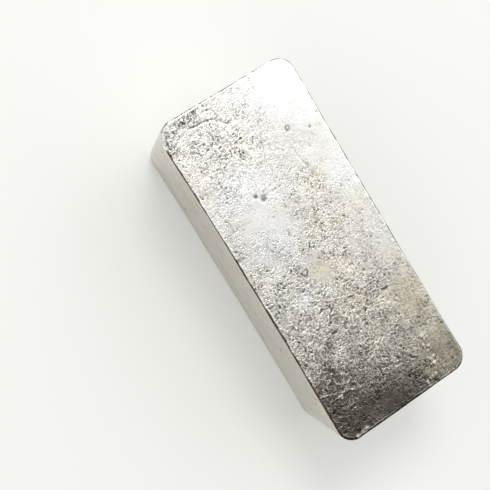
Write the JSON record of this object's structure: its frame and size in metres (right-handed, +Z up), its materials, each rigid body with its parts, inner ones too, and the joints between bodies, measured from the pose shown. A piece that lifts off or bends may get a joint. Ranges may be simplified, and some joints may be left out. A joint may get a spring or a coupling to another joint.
{
  "type": "bismuth ingot",
  "caption": "Small cast bar of bismuth with tapered walls, rounded corners and a slightly crowned pour face, lying on its base.",
  "frame": {"origin": "centre of the base, where it rests on a level floor", "axes": "+X along the ingot's length, +Y across it, +Z up through the pour face"},
  "size_m": [0.0886, 0.0378, 0.0342],
  "materials": {
    "cast_bismuth": "satin"
  },
  "bodies": {
    "root": {"ingot": "cast_bismuth"}
  },
  "joints": []
}
